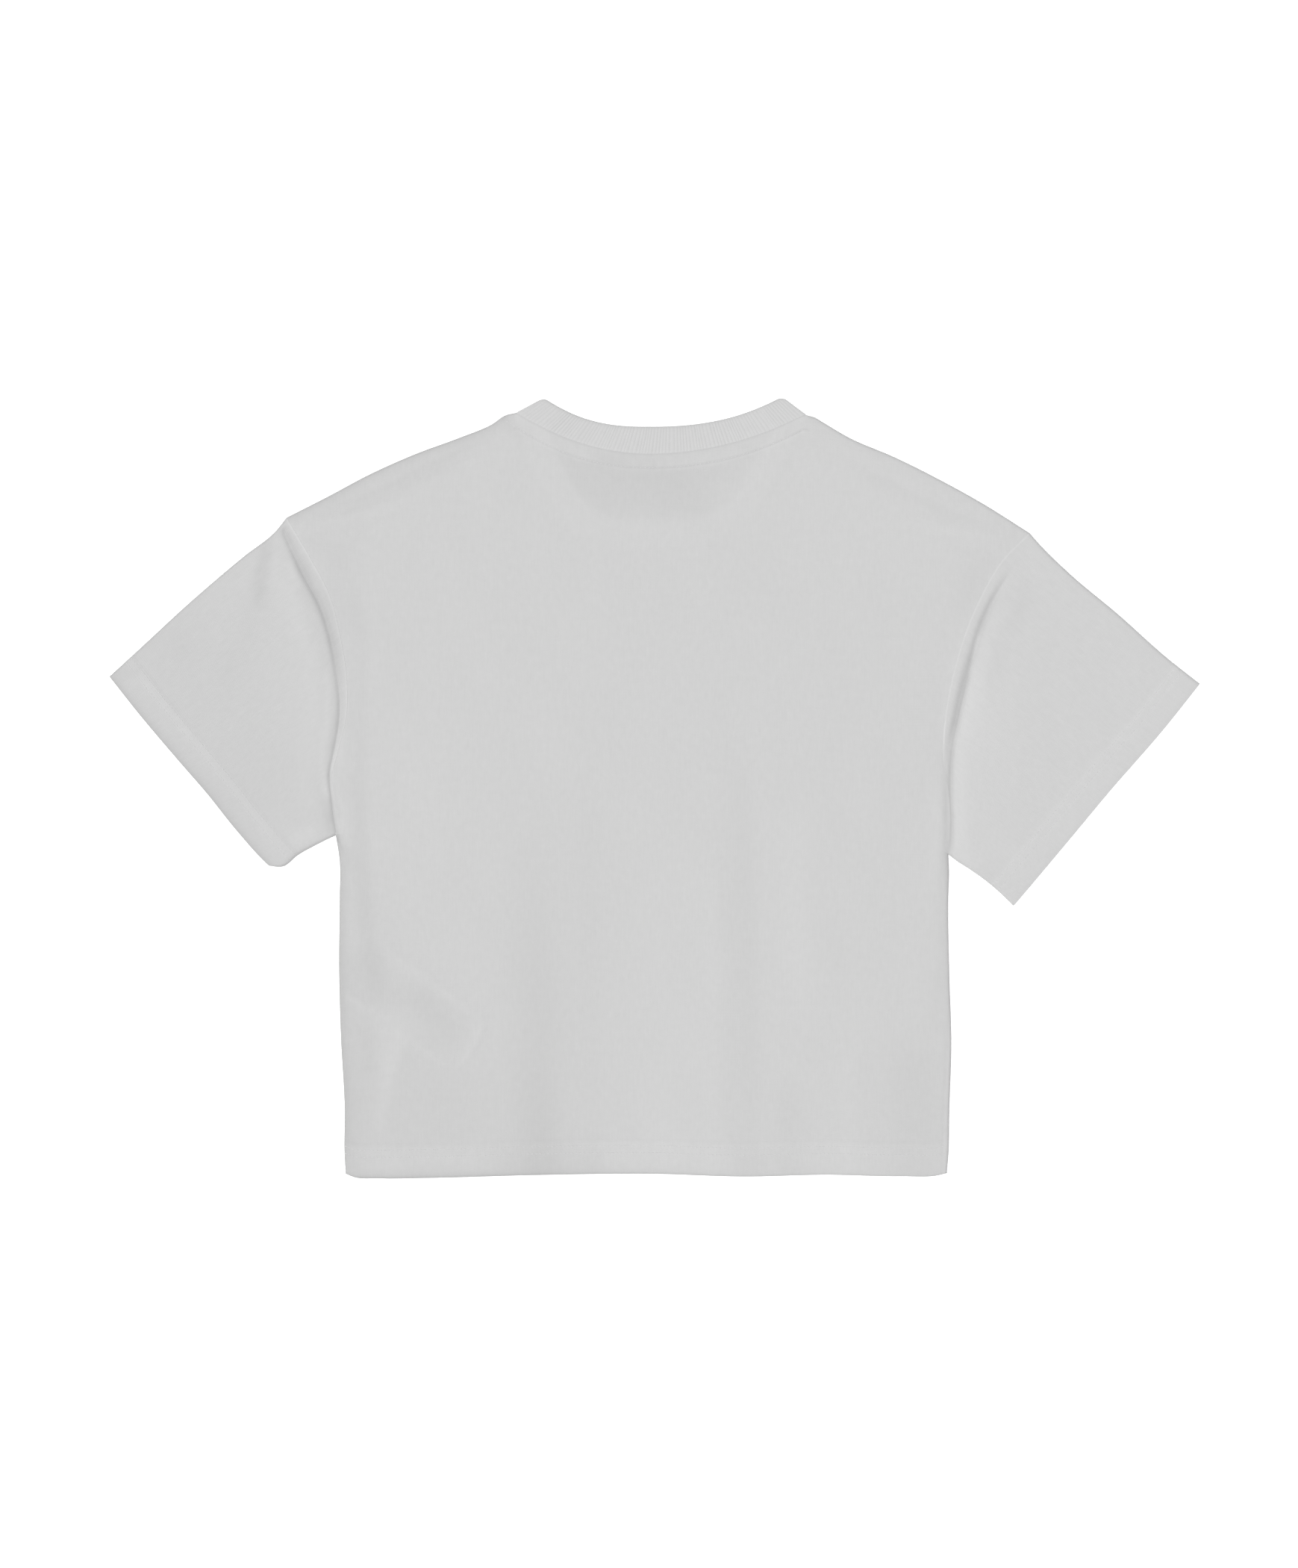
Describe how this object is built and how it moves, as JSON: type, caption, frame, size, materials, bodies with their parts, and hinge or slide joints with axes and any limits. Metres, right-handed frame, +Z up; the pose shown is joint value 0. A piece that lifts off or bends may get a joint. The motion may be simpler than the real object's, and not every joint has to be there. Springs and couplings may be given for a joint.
{
  "type": "t-shirt",
  "caption": "Short-sleeved boxy T-shirt in cotton jersey with a ribbed neckband, laid flat with its back up.",
  "frame": {"origin": "middle of the laid garment's box, on the surface that it lies on", "axes": "+X across the garment from its left sleeve to its right sleeve as it lies, +Y from the hem up to the collar, +Z up out of the back"},
  "size_m": [0.7298, 0.5219, 0.0045],
  "materials": {
    "jersey": "matte off-white cotton jersey",
    "rib": "matte off-white 1x1 cotton rib"
  },
  "bodies": {
    "root": {"back_panel": "jersey", "front_panel": "jersey", "sleeve_left": "jersey", "sleeve_right": "jersey", "neckband": "rib"}
  },
  "joints": []
}
